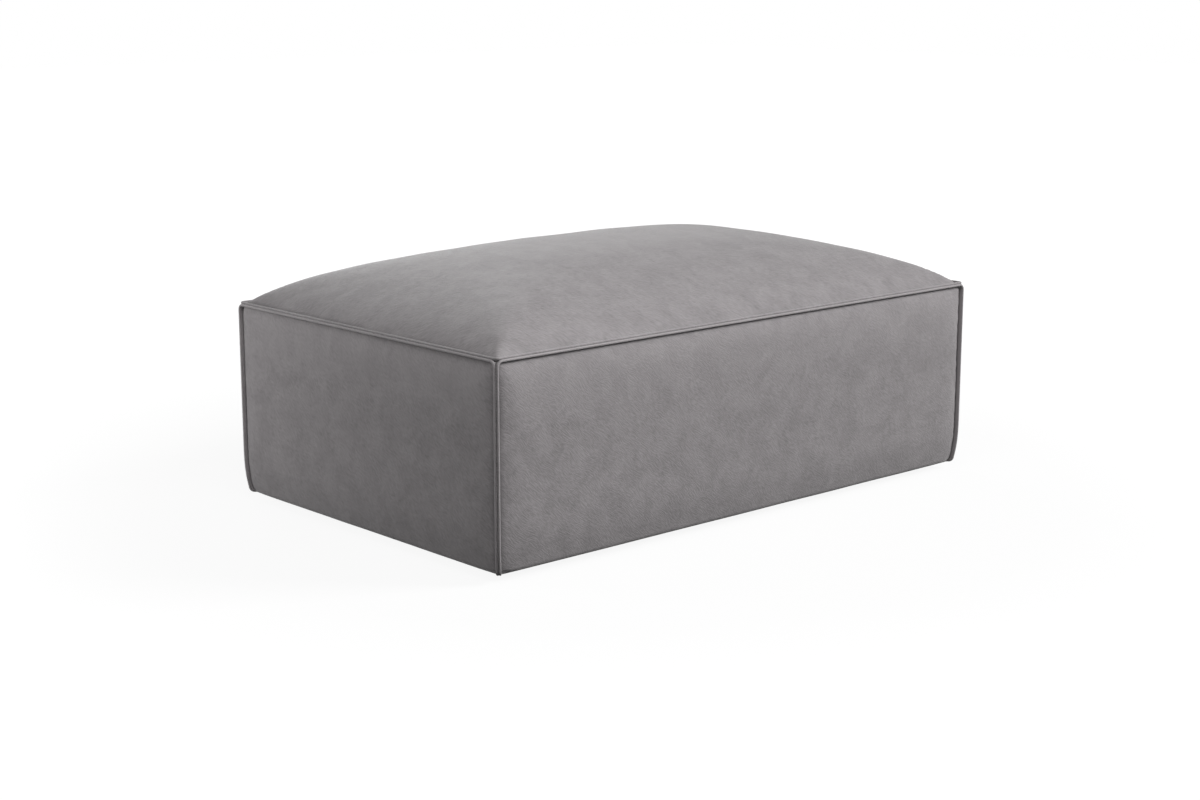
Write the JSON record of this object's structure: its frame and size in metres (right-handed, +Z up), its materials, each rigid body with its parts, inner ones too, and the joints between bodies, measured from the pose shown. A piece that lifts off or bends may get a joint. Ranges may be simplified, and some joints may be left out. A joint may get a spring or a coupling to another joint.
{
  "type": "footstool",
  "caption": "Rectangular upholstered footstool with a crowned velvet top, pinched seam lips and low hidden glides.",
  "frame": {"origin": "centre of the footprint on the floor, under the four glides", "axes": "+X along the length, +Y from the long front face that the picture shows towards the back, +Z up"},
  "size_m": [1.08, 0.686, 0.44],
  "materials": {
    "velvet_cover": "matte",
    "dust_cloth": "matte",
    "glide_plastic": "satin",
    "spring_wire": "satin",
    "zinc_fastener": "satin",
    "hardboard": "matte",
    "soft_foam": "matte",
    "firm_foam": "matte",
    "wadding": "matte",
    "felt": "matte",
    "frame_timber": "matte"
  },
  "bodies": {
    "root": {"bottom_bearer_left": "frame_timber", "bottom_bearer_right": "frame_timber", "bottom_rail_back": "frame_timber", "bottom_rail_front": "frame_timber", "bottom_rail_left": "frame_timber", "bottom_rail_right": "frame_timber", "centre_stretcher": "frame_timber", "clip_nails": "zinc_fastener", "corner_post_back_left": "frame_timber", "corner_post_back_right": "frame_timber", "corner_post_front_left": "frame_timber", "corner_post_front_right": "frame_timber", "cover_back": "velvet_cover", "cover_front": "velvet_cover", "cover_left": "velvet_cover", "cover_right": "velvet_cover", "cover_staples": "zinc_fastener", "cover_top": "velvet_cover", "crown_foam": "soft_foam", "crown_wadding": "wadding", "dust_cover": "dust_cloth", "dust_cover_staples": "zinc_fastener", "end_rail_left": "frame_timber", "end_rail_right": "frame_timber", "frame_screws": "zinc_fastener", "glide_back_left": "glide_plastic", "glide_back_right": "glide_plastic", "glide_front_left": "glide_plastic", "glide_front_right": "glide_plastic", "glide_screws": "zinc_fastener", "mid_post_back": "frame_timber", "mid_post_front": "frame_timber", "seat_foam_core": "firm_foam", "side_board_back": "hardboard", "side_board_front": "hardboard", "side_board_left": "hardboard", "side_board_right": "hardboard", "side_board_staples": "zinc_fastener", "side_foam_back": "firm_foam", "side_foam_front": "firm_foam", "side_foam_left": "firm_foam", "side_foam_right": "firm_foam", "spring_clips": "zinc_fastener", "spring_felt": "felt", "spring_rail_back": "frame_timber", "spring_rail_front": "frame_timber", "stay_wire_back": "spring_wire", "stay_wire_front": "spring_wire", "stay_wire_staples": "zinc_fastener", "zigzag_spring_1": "spring_wire", "zigzag_spring_2": "spring_wire", "zigzag_spring_3": "spring_wire", "zigzag_spring_4": "spring_wire", "zigzag_spring_5": "spring_wire", "zigzag_spring_6": "spring_wire", "zigzag_spring_7": "spring_wire"}
  },
  "joints": []
}
